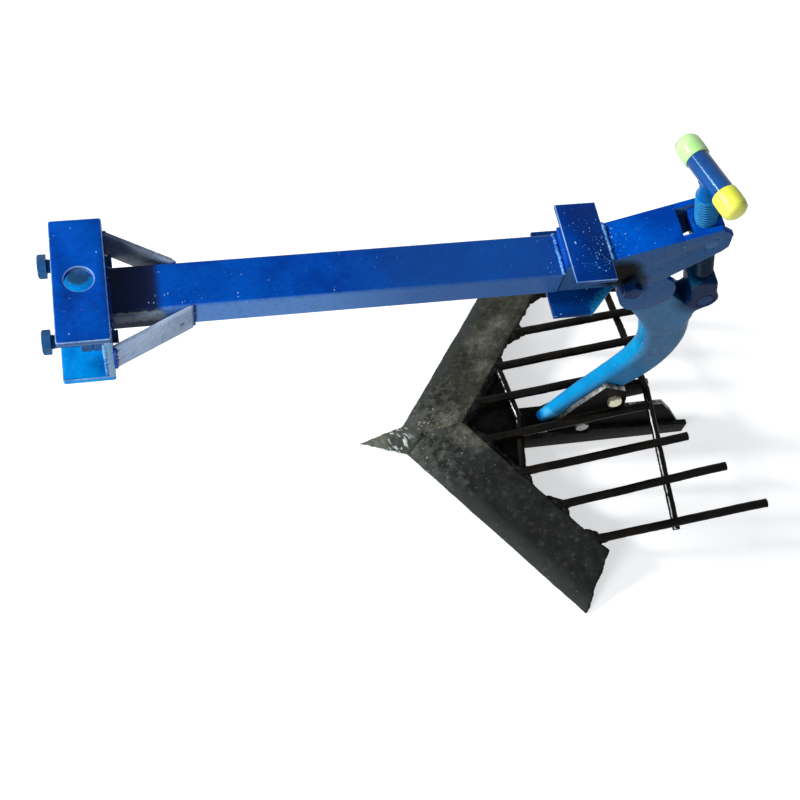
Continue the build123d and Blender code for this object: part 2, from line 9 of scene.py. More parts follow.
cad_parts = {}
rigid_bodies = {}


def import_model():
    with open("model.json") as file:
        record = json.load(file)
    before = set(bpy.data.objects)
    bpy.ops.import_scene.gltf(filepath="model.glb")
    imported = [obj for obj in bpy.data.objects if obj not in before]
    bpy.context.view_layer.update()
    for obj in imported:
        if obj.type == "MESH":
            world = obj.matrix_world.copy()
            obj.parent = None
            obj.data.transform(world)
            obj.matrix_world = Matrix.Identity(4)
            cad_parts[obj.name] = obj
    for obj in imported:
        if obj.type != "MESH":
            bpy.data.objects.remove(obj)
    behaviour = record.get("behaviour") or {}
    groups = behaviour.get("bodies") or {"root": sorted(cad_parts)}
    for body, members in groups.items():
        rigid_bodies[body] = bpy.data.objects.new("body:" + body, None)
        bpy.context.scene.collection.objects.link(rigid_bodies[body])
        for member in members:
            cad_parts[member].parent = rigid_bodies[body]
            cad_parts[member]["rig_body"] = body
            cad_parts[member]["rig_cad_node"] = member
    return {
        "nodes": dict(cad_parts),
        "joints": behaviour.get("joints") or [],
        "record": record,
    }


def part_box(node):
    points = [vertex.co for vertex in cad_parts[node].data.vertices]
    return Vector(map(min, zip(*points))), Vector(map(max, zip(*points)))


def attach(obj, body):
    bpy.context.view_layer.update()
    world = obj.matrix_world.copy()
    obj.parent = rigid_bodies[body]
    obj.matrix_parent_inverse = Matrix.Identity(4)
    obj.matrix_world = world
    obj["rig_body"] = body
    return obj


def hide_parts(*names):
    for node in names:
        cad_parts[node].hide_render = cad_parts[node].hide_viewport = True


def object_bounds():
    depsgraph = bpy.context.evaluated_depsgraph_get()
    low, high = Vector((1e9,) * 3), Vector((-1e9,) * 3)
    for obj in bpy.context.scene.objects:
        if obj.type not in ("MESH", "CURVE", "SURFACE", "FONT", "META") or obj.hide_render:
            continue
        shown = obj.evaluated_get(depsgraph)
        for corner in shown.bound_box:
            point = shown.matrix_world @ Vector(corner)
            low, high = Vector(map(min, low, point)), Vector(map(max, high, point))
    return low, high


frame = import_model()
cad_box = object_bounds()
nodes = frame["nodes"]
joints = {joint["name"]: joint for joint in frame["joints"]}
slots = {part["node"]: part["material_slot"] for part in frame["record"]["subparts"]}

MM = 0.001


def at(x, y, z):
    """A point given in millimetres."""
    return Vector((x, y, z)) * MM


def per_metre(size_mm):
    """Texture scale for a pattern whose spots are this many millimetres across."""
    return 1 / (size_mm * MM)


def linear(code):
    """Linear colour of an sRGB hex code."""
    parts = [int(code[i:i + 2], 16) / 255 for i in (1, 3, 5)]
    return [c / 12.92 if c <= 0.04045 else ((c + 0.055) / 1.055) ** 2.4 for c in parts] + [1.0]


# Materials

def add(tree, kind, values=None, links=None, **settings):
    """Adds a shader node with its settings, values and links, and returns its first output in use."""
    node = tree.nodes.new("ShaderNode" + kind)
    for name, value in settings.items():
        setattr(node, name, value)
    for socket, value in (values or {}).items():
        node.inputs[socket].default_value = value
    for socket, output in (links or {}).items():
        tree.links.new(output, node.inputs[socket])
    return next(output for output in node.outputs if output.enabled)


def start_material(name, **sockets):
    """A new material, its tree, its shader and the coordinates that its patterns follow."""
    material = bpy.data.materials.new(name)
    material.use_nodes = True
    tree = material.node_tree
    shader = tree.nodes["Principled BSDF"]
    for socket, value in sockets.items():
        shader.inputs[socket.replace("_", " ")].default_value = value
    place = add(tree, "TexCoord").node.outputs["Object"]
    return material, tree, shader, place


def coated(material, shader, colour, gloss, relief):
    """The material, with its colour, roughness and relief led into its shader."""
    for socket, output in (("Base Color", colour), ("Roughness", gloss), ("Normal", relief)):
        material.node_tree.links.new(output, shader.inputs[socket])
    return material


def brushed_enamel(name, bright, deep, specks, shadow_and_scorch=0, sheen=0.16, peel=0.25, painted_side_reflection=None, gleam=0.06,
                   marks_and_painted_light=()):
    """Blue alkyd enamel brushed on mild steel: a wet gloss, thick and thin patches, a soft orange peel
    and pale dust set in the coat. Up to so many millimetres behind the hitch pin it may be painted
    black as a painted shadow of the hitch head, and what faces left may be painted a duller slate as a
    painted reflection of pale surroundings. Each mark, a real stain or painted light or shade, has its
    middle and radius in millimetres, its colour and its strength."""
    material, tree, shader, place = start_material(
        name, IOR=1.5, Specular_IOR_Level=gleam, Specular_Tint=linear("#C4E9FF"))
    coat = add(tree, "TexNoise", {"Scale": per_metre(55), "Detail": 5, "Roughness": 0.6}, {"Vector": place})
    patch = add(tree, "MapRange", {"From Min": 0.36, "From Max": 0.64}, {"Value": coat})
    colour = add(tree, "Mix", {6: linear(deep), 7: linear(bright)}, {0: patch}, data_type="RGBA")
    if painted_side_reflection:
        # Painted reflection: faces turned to the near side are mixed towards a pale slate
        facing = add(tree, "SeparateXYZ", None, {0: place.node.outputs["Normal"]}).node.outputs["Y"]
        painted_side_reflection_mask = add(tree, "MapRange", {"From Min": -0.95, "From Max": -0.5, "To Min": 0.85, "To Max": 0},
                   {"Value": facing})
        colour = add(tree, "Mix", {7: linear(painted_side_reflection)}, {0: painted_side_reflection_mask, 6: colour}, data_type="RGBA")
    mottle = add(tree, "TexNoise", {"Scale": per_metre(5), "Detail": 3}, {"Vector": place})
    thin = add(tree, "MapRange", {"From Min": 0.5, "From Max": 0.8, "To Max": 0.35}, {"Value": mottle})
    colour = add(tree, "Mix", {7: linear("#061A52")}, {0: thin, 6: colour}, data_type="RGBA")
    dust = add(tree, "TexNoise", {"Scale": per_metre(3.2), "Detail": 1}, {"Vector": place})
    speck = add(tree, "MapRange", {"From Min": 0.79 - 0.08 * specks, "From Max": 0.84 - 0.08 * specks,
                                   "To Max": 0.85}, {"Value": dust})
    colour = add(tree, "Mix", {7: linear("#BBD6EE")}, {0: speck, 6: colour}, data_type="RGBA")
    # Painted shadow: the tube is painted black behind the hitch pin, where the hitch head's shadow falls
    if shadow_and_scorch:
        along = add(tree, "SeparateXYZ", None, {0: place}).node.outputs["X"]
        painted_hitch_shadow = add(tree, "MapRange", {"From Min": 0.92 * shadow_and_scorch * MM, "From Max": 1.03 * shadow_and_scorch * MM,
                                      "To Min": 0.88, "To Max": 0}, {"Value": along})
        colour = add(tree, "Mix", {7: linear("#1A1518")}, {0: painted_hitch_shadow, 6: colour}, data_type="RGBA")
    # Each mark is a real stain or a patch of painted light or shade
    for middle, radius, tone, strength in marks_and_painted_light:
        away = add(tree, "VectorMath", {1: at(*middle)}, {0: place}, operation="DISTANCE")
        ragged = add(tree, "Math", {1: 0.4 * radius * MM}, {0: mottle, 2: away}, operation="MULTIPLY_ADD")
        stain = add(tree, "MapRange", {"From Min": 0.9 * radius * MM, "From Max": 1.3 * radius * MM,
                                       "To Min": strength, "To Max": 0}, {"Value": ragged})
        colour = add(tree, "Mix", {7: linear(tone)}, {0: stain, 6: colour}, data_type="RGBA")
    gloss = add(tree, "MapRange", {"To Min": sheen, "To Max": sheen + 0.24}, {"Value": coat})
    skin = add(tree, "TexNoise", {"Scale": per_metre(7), "Detail": 4}, {"Vector": place})
    relief = add(tree, "Bump", {"Strength": peel, "Distance": 0.7 * MM}, {"Height": skin})
    return coated(material, shader, colour, gloss, relief)


def threaded_paint(name, foot, way, root, crest, fork_shadow_height):
    """Blue paint on the depth screw, patchy on the thread's crests, painted dark in its roots as painted
    shade and painted black up to a given height as a painted shadow of the fork. The radii of root and
    crest and the height are in millimetres."""
    material, tree, shader, place = start_material(name, IOR=1.5, Specular_IOR_Level=0.08)
    arm = add(tree, "VectorMath", {1: foot}, {0: place}, operation="SUBTRACT")
    turn = add(tree, "VectorMath", {1: way}, {0: arm}, operation="CROSS_PRODUCT")
    radius = add(tree, "VectorMath", None, {0: turn}, operation="LENGTH")
    rise = add(tree, "MapRange", {"From Min": root * MM, "From Max": crest * MM}, {"Value": radius})
    wear = add(tree, "TexNoise", {"Scale": per_metre(9), "Detail": 6, "Roughness": 0.7}, {"Vector": place})
    paint = add(tree, "Mix", {6: linear("#08549A"), 7: linear("#2E9CDC")}, {0: wear}, data_type="RGBA")
    # Painted shade: the thread's roots darkened
    colour = add(tree, "Mix", {6: linear("#04243F")}, {0: rise, 7: paint}, data_type="RGBA")
    height = add(tree, "VectorMath", {1: way}, {0: arm}, operation="DOT_PRODUCT")
    # Painted shadow: the screw painted black below the fork
    painted_fork_shadow = add(tree, "MapRange", {"From Min": (fork_shadow_height - 6) * MM, "From Max": (fork_shadow_height + 6) * MM,
                                    "To Min": 0.92, "To Max": 0}, {"Value": height})
    colour = add(tree, "Mix", {7: linear("#050F1E")}, {0: painted_fork_shadow, 6: colour}, data_type="RGBA")
    gloss = add(tree, "MapRange", {"To Min": 0.1, "To Max": 0.4}, {"Value": wear})
    relief = add(tree, "Bump", {"Strength": 0.4, "Distance": 0.8 * MM}, {"Height": wear})
    return coated(material, shader, colour, gloss, relief)


def ground_edge(tree, place, edge, cloud, scale, colour, relief):
    """The colour of a share plate that is ground to a smoother and greyer strip along its cutting edge,
    and scuffed and chipped bright near the point."""
    start, back = edge
    reach = start.dot(back)
    depth = add(tree, "VectorMath", {1: back}, {0: place}, operation="DOT_PRODUCT")
    strip = add(tree, "MapRange", {"From Min": reach + 6 * MM, "From Max": reach + 24 * MM,
                                   "To Min": 0.62, "To Max": 0}, {"Value": depth})
    colour = add(tree, "Mix", {7: linear("#373C3A")}, {0: strip, 6: colour}, data_type="RGBA")
    calm = add(tree, "MapRange", {"To Min": 0.55, "To Max": 0.2}, {"Value": strip})
    tree.links.new(calm, relief.node.inputs["Strength"])
    away = add(tree, "VectorMath", {1: start}, {0: place}, operation="DISTANCE")
    near_point = add(tree, "MapRange", {"From Min": 20 * MM, "From Max": 150 * MM,
                                        "To Min": 0.24, "To Max": 0}, {"Value": away})
    wear_and_highlight = add(tree, "Math", None, {0: scale, 1: near_point}, operation="ADD")
    scuff = add(tree, "MapRange", {"From Min": 0.56, "From Max": 0.9, "To Max": 0.6}, {"Value": wear_and_highlight})
    colour = add(tree, "Mix", {7: linear("#6E7068")}, {0: scuff, 6: colour}, data_type="RGBA")
    chip = add(tree, "TexNoise", {"Scale": per_metre(4), "Detail": 2}, {"Vector": place})
    cluster = add(tree, "Math", None, {0: near_point, 1: cloud, 2: chip}, operation="MULTIPLY_ADD")
    bright = add(tree, "MapRange", {"From Min": 0.75, "From Max": 0.81, "To Max": 0.8}, {"Value": cluster})
    return add(tree, "Mix", {7: linear("#A6ABA3")}, {0: bright, 6: colour}, data_type="RGBA")


def scaled_plate(name, dark, pale, dusty, edge=None, worn=0, gleam=0.08, smudges=()):
    """Hot-rolled share plate under black paint: near black, clouded with dried soil and pitted with
    scale. It may have a ground cutting edge, and where it is worn the steel shows on what faces up.
    A smudge of pale dust has its middle and radius in millimetres."""
    material, tree, shader, place = start_material(name, IOR=1.5, Specular_IOR_Level=gleam)
    cloud = add(tree, "TexNoise", {"Scale": per_metre(48), "Detail": 9, "Roughness": 0.62},
                {"Vector": place})
    patch = add(tree, "MapRange", {"From Min": 0.44, "From Max": 0.7}, {"Value": cloud})
    colour = add(tree, "Mix", {6: linear(dark), 7: linear(pale)}, {0: patch}, data_type="RGBA")
    scale = add(tree, "TexNoise", {"Scale": per_metre(11), "Detail": 10, "Roughness": 0.75},
                {"Vector": place})
    soil = add(tree, "MapRange", {"From Min": 0.42, "From Max": 0.72, "To Max": dusty}, {"Value": scale})
    colour = add(tree, "Mix", {7: linear("#73726A")}, {0: soil, 6: colour}, data_type="RGBA")
    grain = add(tree, "TexNoise", {"Scale": per_metre(2.4), "Detail": 2}, {"Vector": place})
    pit = add(tree, "MapRange", {"From Min": 0.3, "From Max": 0.5, "To Min": 0.6, "To Max": 0},
              {"Value": grain})
    colour = add(tree, "Mix", {7: linear("#080808")}, {0: pit, 6: colour}, data_type="RGBA")
    for middle, radius in smudges:
        away = add(tree, "VectorMath", {1: at(*middle)}, {0: place}, operation="DISTANCE")
        near = add(tree, "MapRange", {"From Min": 0.2 * radius * MM, "From Max": radius * MM,
                                      "To Min": 1, "To Max": 0}, {"Value": away})
        dust = add(tree, "MapRange", {"From Min": 0.3, "From Max": 0.65, "To Max": 0.42}, {"Value": scale})
        dust = add(tree, "Math", None, {0: near, 1: dust}, operation="MULTIPLY")
        colour = add(tree, "Mix", {7: linear("#8C8A7C")}, {0: dust, 6: colour}, data_type="RGBA")
    gloss = add(tree, "MapRange", {"To Min": 0.32, "To Max": 0.66}, {"Value": scale})
    relief = add(tree, "Bump", {"Strength": 0.5, "Distance": 1.4 * MM}, {"Height": scale})
    if edge:
        colour = ground_edge(tree, place, edge, cloud, scale, colour, relief)
    if worn:
        facing = add(tree, "SeparateXYZ", None, {0: place.node.outputs["Normal"]}).node.outputs["Z"]
        upward = add(tree, "MapRange", {"From Min": 0.35, "From Max": 0.7}, {"Value": facing})
        bare = add(tree, "MapRange", {"From Min": 0.4, "From Max": 0.56, "To Max": worn}, {"Value": scale})
        bare = add(tree, "Math", None, {0: upward, 1: bare}, operation="MULTIPLY")
        colour = add(tree, "Mix", {7: linear("#A3A5A3")}, {0: bare, 6: colour}, data_type="RGBA")
        tree.links.new(bare, shader.inputs["Metallic"])
    return coated(material, shader, colour, gloss, relief)


def hammered_point(name):
    """Forged share point: olive at its tip, and behind that dark with oxide, where it is struck and
    ground to bright slanting flecks."""
    material, tree, shader, place = start_material(name, Metallic=0.25)
    cloud = add(tree, "TexNoise", {"Scale": per_metre(16), "Detail": 7, "Roughness": 0.7},
                {"Vector": place})
    colour = add(tree, "Mix", {6: linear("#3A3D31"), 7: linear("#6C6F61")}, {0: cloud}, data_type="RGBA")
    along = add(tree, "SeparateXYZ", None, {0: place}).node.outputs["X"]
    rear = add(tree, "MapRange", {"From Min": 396 * MM, "From Max": 408 * MM}, {"Value": along})
    oxide = add(tree, "Math", {1: 0.8}, {0: rear}, operation="MULTIPLY")
    colour = add(tree, "Mix", {7: linear("#141C17")}, {0: oxide, 6: colour}, data_type="RGBA")
    slant = add(tree, "Mapping", {"Rotation": (0, 0, math.radians(32)), "Scale": (1, 4, 2)}, {0: place},
                vector_type="TEXTURE")
    strokes = add(tree, "TexNoise", {"Scale": per_metre(5), "Detail": 3, "Roughness": 0.6},
                  {"Vector": slant})
    fleck = add(tree, "MapRange", {"From Min": 0.55, "From Max": 0.63, "To Max": 0.9}, {"Value": strokes})
    struck = add(tree, "MapRange", {"From Min": 424 * MM, "From Max": 440 * MM,
                                    "To Min": 1, "To Max": 0.15}, {"Value": along})
    for limit in (rear, struck):
        fleck = add(tree, "Math", None, {0: fleck, 1: limit}, operation="MULTIPLY")
    colour = add(tree, "Mix", {7: linear("#D6E2DC")}, {0: fleck, 6: colour}, data_type="RGBA")
    gloss = add(tree, "MapRange", {"To Min": 0.55, "To Max": 0.25}, {"Value": fleck})
    relief = add(tree, "Bump", {"Strength": 0.6, "Distance": 0.8 * MM}, {"Height": strokes})
    return coated(material, shader, colour, gloss, relief)


def painted_rod(name, dark, worn, wear_and_highlight=None):
    """Round bar dipped in black paint: glossy, with brown rust showing where it is thin. A bar that lies
    across the soil's way may carry a painted highlight, a bright line along its upper front. The line
    starts and is full at two distances in millimetres to the right, and breaks off where the rust's
    noise is below a third value."""
    material, tree, shader, place = start_material(name, IOR=1.5, Specular_IOR_Level=0.06)
    rust = add(tree, "TexNoise", {"Scale": per_metre(22), "Detail": 6, "Roughness": 0.7}, {"Vector": place})
    patch = add(tree, "MapRange", {"From Min": 0.42, "From Max": 0.68}, {"Value": rust})
    colour = add(tree, "Mix", {6: linear(dark), 7: linear(worn)}, {0: patch}, data_type="RGBA")
    # Painted highlight: a bright line along the rod's upper front
    if wear_and_highlight:
        start, full, least = wear_and_highlight
        facing = add(tree, "SeparateXYZ", None, {0: place.node.outputs["Normal"]}).node.outputs
        turn = add(tree, "Math", None, {0: facing["X"], 1: facing["Z"]}, operation="ARCTAN2")
        off = add(tree, "Math", {1: math.radians(-45)}, {0: turn}, operation="SUBTRACT")
        off = add(tree, "Math", None, {0: off}, operation="ABSOLUTE")
        painted_highlight_line = add(tree, "MapRange", {"From Min": math.radians(6), "From Max": math.radians(12),
                                      "To Min": 0.9, "To Max": 0}, {"Value": off})
        broken = add(tree, "MapRange", {"From Min": least, "From Max": least + 0.12}, {"Value": rust})
        right = add(tree, "SeparateXYZ", None, {0: place}).node.outputs["Y"]
        reach = add(tree, "MapRange", {"From Min": start * MM, "From Max": full * MM}, {"Value": right})
        for limit in (broken, reach):
            painted_highlight_line = add(tree, "Math", None, {0: painted_highlight_line, 1: limit}, operation="MULTIPLY")
        colour = add(tree, "Mix", {7: linear("#F4F7F4")}, {0: painted_highlight_line, 6: colour}, data_type="RGBA")
    gloss = add(tree, "MapRange", {"To Min": 0.1, "To Max": 0.42}, {"Value": rust})
    skin = add(tree, "TexNoise", {"Scale": per_metre(3), "Detail": 3}, {"Vector": place})
    relief = add(tree, "Bump", {"Strength": 0.4, "Distance": 0.5 * MM}, {"Height": skin})
    return coated(material, shader, colour, gloss, relief)


def bare_steel(name, dark, bright, rough, grit_mm):
    """Bare steel, oiled or zinc plated: metallic, with grinding marks of one grit size."""
    material, tree, shader, place = start_material(name, Metallic=0.85)
    stain = add(tree, "TexNoise", {"Scale": per_metre(14), "Detail": 5, "Roughness": 0.65},
                {"Vector": place})
    patch = add(tree, "MapRange", {"From Min": 0.35, "From Max": 0.7}, {"Value": stain})
    colour = add(tree, "Mix", {6: linear(dark), 7: linear(bright)}, {0: patch}, data_type="RGBA")
    gloss = add(tree, "MapRange", {"To Min": rough, "To Max": rough + 0.3}, {"Value": stain})
    marks = add(tree, "TexNoise", {"Scale": per_metre(grit_mm), "Detail": 3}, {"Vector": place})
    relief = add(tree, "Bump", {"Strength": 0.35, "Distance": 0.4 * MM}, {"Height": marks})
    return coated(material, shader, colour, gloss, relief)


def moulded_vinyl(name, body, shade):
    """Dipped PVC cap: soft satin gloss, slightly cloudy, with a faint greener cast in patches."""
    material, tree, shader, place = start_material(
        name, IOR=1.53, Subsurface_Weight=0.12, Subsurface_Scale=4 * MM)
    cloud = add(tree, "TexNoise", {"Scale": per_metre(26), "Detail": 3}, {"Vector": place})
    patch = add(tree, "MapRange", {"From Min": 0.4, "From Max": 0.7}, {"Value": cloud})
    colour = add(tree, "Mix", {6: linear(body), 7: linear(shade)}, {0: patch}, data_type="RGBA")
    gloss = add(tree, "MapRange", {"To Min": 0.3, "To Max": 0.45}, {"Value": cloud})
    skin = add(tree, "TexNoise", {"Scale": per_metre(2.5), "Detail": 2}, {"Vector": place})
    relief = add(tree, "Bump", {"Strength": 0.12, "Distance": 0.3 * MM}, {"Height": skin})
    return coated(material, shader, colour, gloss, relief)


def cutting_edge(name, outer):
    """The front of a wing's cutting edge, and the level way back from it."""
    points = [vertex.co.copy() for vertex in nodes[name].data.vertices]
    front = min(points, key=lambda point: point.x)
    tip = max(points, key=lambda point: point.y * outer)
    along = tip - front
    return front, Vector((abs(along.y), -along.x * outer, 0)).normalized()


# Finishes

screw_foot = Vector(joints["handle_spin"]["pos_m"])
screw_up = Vector(joints["handle_spin"]["axis"]).normalized()

royal_blue = ("#0054BE", "#003EA0")
painted_reflection_slate = "#41648A"
painted_shadow_black = "#020204"
chip_blue = "#33507A"
rod_black = ("#080807", "#1A150F")

# Marks on the enamel, real stains and painted light or shade: a painted shadow beside the pivot bolt,
# painted shade on the tube's rear half and its burnt seam, a painted patch of light on the lower
# plate's end, painted shade below the hitch pin, chips in the near brace, and on the shank painted
# light on its lower half, the toe's darker tip, a painted highlight above it and a painted shadow on
# the lug
painted_pivot_shadow = [((629, -27, 6), 29, painted_shadow_black, 1), ((650, -27, -14), 22, painted_shadow_black, 0.8)]
# Painted shade: the tube darkened towards its rear end
tube_marks = [((560, -30, 0), 260, "#1B4A8C", 0.6)]
tube_marks += [((x, -30, 5), 11, "#A6AEB4", 0.8) for x in (40, 53, 66, 79)]
painted_plate_light = [((640, -75, -28), 52, "#2FC0FF", 0.85)]
painted_pin_hole_shade = [((-4, 60, -36), 16, "#22323C", 0.85)]
brace_chips = [((36.7, -72, -5), 4, chip_blue, 0.7), ((105.4, -39, 0), 4.5, chip_blue, 0.8)]
shank_marks_and_painted_light = [
    ((684, -12, -352), 128, "#0A82BE", 0.65),
    ((621, 0, -407), 14, "#03206A", 0.9),
    ((642, -5, -391), 11, "#5CC8FF", 0.45),
    ((772, 0, -72), 48, "#071A42", 0.95),
]
far_wing_dust = [((574, 144, -422), 34), ((606, 173, -418), 24), ((565, 95, -414), 22), ((490, 8, -415), 30)]
near_wing_dust = [((512, -14, -410), 26), ((530, -34, -408), 18), ((436, -26, -444), 18)]

# painted_side_reflection paints faces turned to the near side a paler slate, a painted reflection
finish = {
    "beam": brushed_enamel("royal_blue_enamel", *royal_blue, specks=0.3, painted_side_reflection=painted_reflection_slate),
    "head": brushed_enamel("head_enamel", *royal_blue, specks=0.3, painted_side_reflection="#7AA4BE"),
    # Fork: painted shadow of the upper plate beside the pivot bolt
    "fork": brushed_enamel("fork_enamel", *royal_blue, specks=0.3, painted_side_reflection=painted_reflection_slate, gleam=0.02,
                           marks_and_painted_light=painted_pivot_shadow),
    # Tube: painted reflection on its near side, a painted shadow of the hitch head, painted shade on its rear
    # half and its burnt seam marks
    "tube": brushed_enamel("tube_enamel", *royal_blue, specks=0.3, shadow_and_scorch=86, painted_side_reflection="#5F8ECC",
                           marks_and_painted_light=tube_marks),
    # Grey scorched enamel of the far brace and the tube's seam weld
    "shadow_and_scorch": brushed_enamel("burnt_enamel", "#98A8BE", "#6E7B8E", specks=1.4),
    "plate": brushed_enamel("deep_blue_enamel", "#003F96", "#002C7A", specks=0.6),
    # Lower plate: a painted patch of light on its end
    "lower_plate": brushed_enamel("lower_plate_enamel", "#02387E", "#01265E", specks=0.4, marks_and_painted_light=painted_plate_light),
    # Hitch bottom plate: painted shade below the hitch pin
    "azure": brushed_enamel("azure_enamel", "#00A2F0", "#0086DA", specks=0.2, marks_and_painted_light=painted_pin_hole_shade),
    # Shank: painted reflection on its near side, painted light on its lower half, a painted highlight above
    # the toe and a painted shadow on the lug
    "cast": brushed_enamel("forged_enamel", "#0C9CD0", "#04689E", specks=0.5, sheen=0.2, painted_side_reflection="#54789E",
                           gleam=0.04, marks_and_painted_light=shank_marks_and_painted_light),
    "pipe": brushed_enamel("pipe_enamel", "#06509A", "#033C7C", specks=0.1, sheen=0.04, peel=0.03,
                           gleam=0.35),
    # Near brace: paler enamel as a painted reflection, with white specks and chips
    "painted_sheen_brace": brushed_enamel("painted_sheen_specked_enamel", "#B8CAE4", "#8AA4CC", specks=1.6, marks_and_painted_light=brace_chips),
    # Painted highlight: paler enamel on the rounded edges of plates
    "rim": brushed_enamel("painted_edge_highlight_enamel", "#9CB8DC", "#5C86BE", specks=1.2),
    "weld": brushed_enamel("weld_enamel", "#0B50B0", "#062A80", specks=0.8),
    "spattered": brushed_enamel("spattered_enamel", "#7CC0EC", "#0B56B0", specks=2.2),
    # Depth screw: painted shade in its thread roots and a painted shadow below the fork
    "screw": threaded_paint("thread_paint", screw_foot, screw_up, root=12, crest=13.6, fork_shadow_height=126),
    "neck": brushed_enamel("neck_enamel", "#0A6CB4", "#044688", specks=0.4),
    "bolt": brushed_enamel("bolt_enamel", "#2C6292", "#1A4472", specks=0.2),
    "pin": brushed_enamel("pin_enamel", "#153870", "#0D2452", specks=0.2),
    "far_wing": scaled_plate("olive_scale_plate", "#1A1A15", "#34332A", dusty=0.26,
                             edge=cutting_edge("wing_right", 1), smudges=far_wing_dust),
    "wing": scaled_plate("black_scale_plate", "#0B0D0D", "#202423", dusty=0.07,
                         edge=cutting_edge("wing_left", -1), smudges=near_wing_dust),
    "foot": scaled_plate("black_foot_paint", "#0A0B0B", "#141617", dusty=0.1, gleam=0.04),
    # Painted shade: a near-black copy of the foot paint for parts lying in shadow
    "shadow_black": scaled_plate("shadow_black_plate", "#050505", "#0B0B0C", dusty=0.03, gleam=0.02),
    "cheek": scaled_plate("rubbed_cheek_paint", "#050505", "#0C0C0D", dusty=0.04, worn=0.9, gleam=0.03),
    "rod": painted_rod("black_rod_paint", *rod_black),
    # Cross rods with a painted highlight line along their upper front
    "front_rod": painted_rod("front_rod_paint", *rod_black, wear_and_highlight=(-24, -4, 0.46)),
    "rear_rod": painted_rod("rear_rod_paint", *rod_black, wear_and_highlight=(-16, -32, 0.33)),
    "nose": hammered_point("hammered_point"),
    "steel": bare_steel("oiled_steel", "#5C5E5E", "#A8AAA6", rough=0.3, grit_mm=2),
    "zinc": bare_steel("yellow_zinc_plate", "#D2CCA8", "#FBF8E4", rough=0.25, grit_mm=2),
    "cap": moulded_vinyl("lemon_vinyl", "#FCF868", "#EEF148"),
    "far_cap": moulded_vinyl("lime_vinyl", "#C4F0A2", "#9CE27C"),
}

# The finishes of each slot, the first of them on its CAD nodes
slot_finishes = {
    "blue_enamel": ("beam", "head", "fork", "shadow_and_scorch", "plate", "lower_plate", "azure", "cast", "painted_sheen_brace",
                    "weld", "spattered"),
    "dark_steel": ("pin", "bolt", "steel"),
    "zinc_plate": ("zinc",),
    "screw_steel": ("neck", "screw"),
    "black_plate": ("foot", "far_wing", "wing", "shadow_black", "cheek"),
    "sifting_rod": ("rod", "front_rod", "rear_rod"),
    "ground_steel": ("nose",),
    "yellow_cap": ("cap", "far_cap"),
}


def dress(piece, key):
    """Gives a piece one finish all over."""
    piece.data.materials.clear()
    piece.data.materials.append(finish[key])


for name, node in nodes.items():
    dress(node, slot_finishes[slots[name]][0])


# Shaping

def pick(piece):
    """Makes a piece the only one selected, and the active one."""
    bpy.ops.object.select_all(action="DESELECT")
    piece.select_set(True)
    bpy.context.view_layer.objects.active = piece


def apply_all(piece):
    """Applies a piece's modifiers in their order."""
    pick(piece)
    for modifier in list(piece.modifiers):
        bpy.ops.object.modifier_apply(modifier=modifier.name)


def add_ease(piece, passes):
    """A smoothing modifier with this many passes."""
    ease = piece.modifiers.new("ease", "SMOOTH")
    ease.factor = 0.5
    ease.iterations = passes
    return ease


def remesh_smooth(piece, grain, passes):
    """Gives a piece an even mesh of this grain in millimetres, its edges smoothed as on a casting."""
    even = piece.modifiers.new("even", "REMESH")
    even.mode = "VOXEL"
    even.voxel_size = grain * MM
    add_ease(piece, passes)
    apply_all(piece)
    bpy.ops.object.shade_smooth()


def seat(piece, name, key, body, *replaced):
    """Names a finished piece, paints it and lets it ride on its body in place of CAD nodes."""
    piece.name = name
    dress(piece, key)
    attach(piece, body)
    if replaced:
        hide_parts(*replaced)


def body_of_node(name):
    """The body that a CAD node rides on."""
    return nodes[name]["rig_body"]


def copy_of(name):
    """A copy of a CAD node, its doubled vertices merged and its flat faces made whole."""
    piece = nodes[name].copy()
    piece.data = piece.data.copy()
    piece.parent = None
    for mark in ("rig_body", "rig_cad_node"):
        del piece[mark]
    bpy.context.scene.collection.objects.link(piece)
    pick(piece)
    bpy.ops.object.mode_set(mode="EDIT")
    bpy.ops.mesh.select_all(action="SELECT")
    bpy.ops.mesh.remove_doubles(threshold=0.001 * MM)
    bpy.ops.mesh.dissolve_limited(angle_limit=math.radians(0.4))
    bpy.ops.object.mode_set(mode="OBJECT")
    return piece


def softened(name, key, width, rim=None):
    """A plate whose sheared edges are rounded over by this many millimetres, and whose rounded edges
    may take another finish, such as a paler painted highlight."""
    piece = copy_of(name)
    seat(piece, "soft_" + name, key, body_of_node(name), name)
    edge = piece.modifiers.new("edge", "BEVEL")
    edge.width = width * MM
    edge.segments = 2
    edge.angle_limit = math.radians(35)
    if rim:
        piece.data.materials.append(finish[rim])
        edge.material = 1
    apply_all(piece)
    bpy.ops.object.shade_smooth_by_angle(angle=math.radians(32))


def remeshed(name, grain, passes):
    """A copy of a CAD node in an even mesh, its edges smoothed as on a forging."""
    piece = copy_of(name)
    remesh_smooth(piece, grain, passes)
    return piece


def eased(piece, middle, reach, passes):
    """Smooths a piece round a point, less and less out to this many millimetres."""
    group = piece.vertex_groups.new(name="eased")
    for vertex in piece.data.vertices:
        weight = 1 - (vertex.co - middle).length / (reach * MM)
        if weight > 0:
            group.add([vertex.index], weight, "REPLACE")
    add_ease(piece, passes).vertex_group = group.name
    apply_all(piece)


